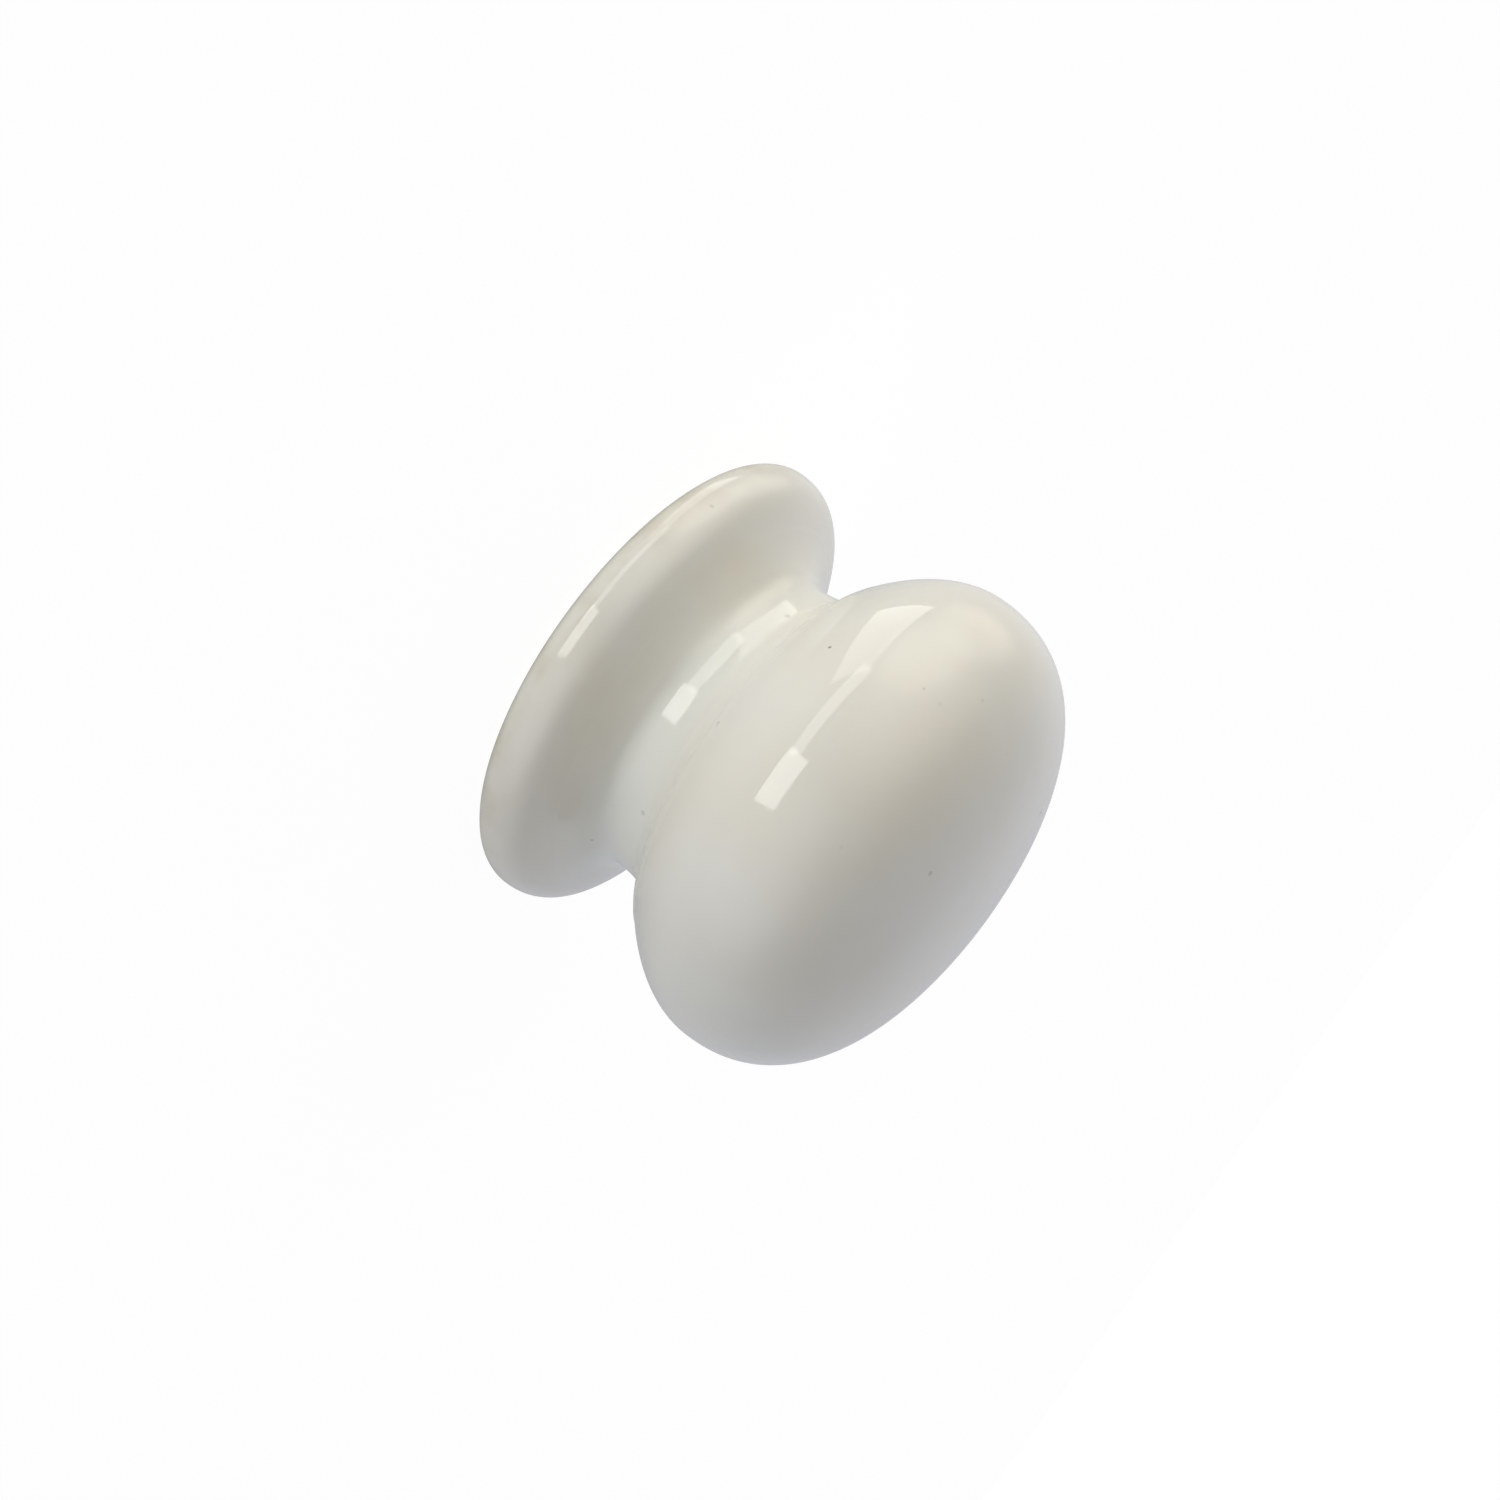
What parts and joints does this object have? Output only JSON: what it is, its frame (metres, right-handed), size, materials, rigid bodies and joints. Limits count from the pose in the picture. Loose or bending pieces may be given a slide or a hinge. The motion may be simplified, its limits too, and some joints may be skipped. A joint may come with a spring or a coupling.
{
  "type": "fence insulator",
  "caption": "Glazed porcelain knob insulator: round-rimmed flange, deep wire groove and closed domed head, on a threaded bush cemented into its flat end.",
  "frame": {"origin": "centre of the flat flange end, which is the seating face", "axes": "+Z along the knob's axis from the flat end to the pole of the dome; X and Y are equivalent"},
  "size_m": [0.05, 0.05, 0.041],
  "materials": {
    "glazed_porcelain": "clear gloss glaze over off-white porcelain",
    "cement": "matte Portland cement",
    "plated_steel": "dull zinc plate"
  },
  "bodies": {
    "root": {"porcelain_body": "glazed_porcelain", "cement_joint": "cement", "threaded_bush": "plated_steel"}
  },
  "joints": []
}
